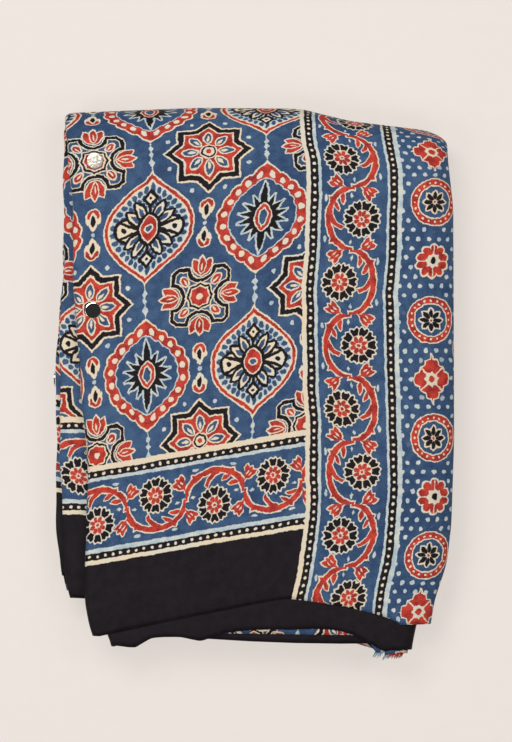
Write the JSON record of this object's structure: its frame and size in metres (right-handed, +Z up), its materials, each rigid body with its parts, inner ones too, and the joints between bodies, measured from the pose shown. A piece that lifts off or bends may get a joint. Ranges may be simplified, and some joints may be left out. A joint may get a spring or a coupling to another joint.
{
  "type": "folded ajrakh cloth",
  "caption": "Folded block-printed ajrakh cloth in indigo, red, cream and black, with small round mirrors sewn at motif centres, lying flat as a soft pile.",
  "frame": {"origin": "Middle of the pile's footprint, on the surface that it lies on.", "axes": "+Z up from the surface, +Y along the pile towards its last fold, +X across the pile towards the cloth's banded end."},
  "size_m": [0.4226, 0.5764, 0.0558],
  "materials": {
    "cloth": "soft, slightly lustrous printed weave",
    "mirror": "polished"
  },
  "bodies": {
    "root": {"cloth": "cloth", "mirror_upper": "mirror", "mirror_lower": "mirror", "mirror_side": "mirror"}
  },
  "joints": []
}
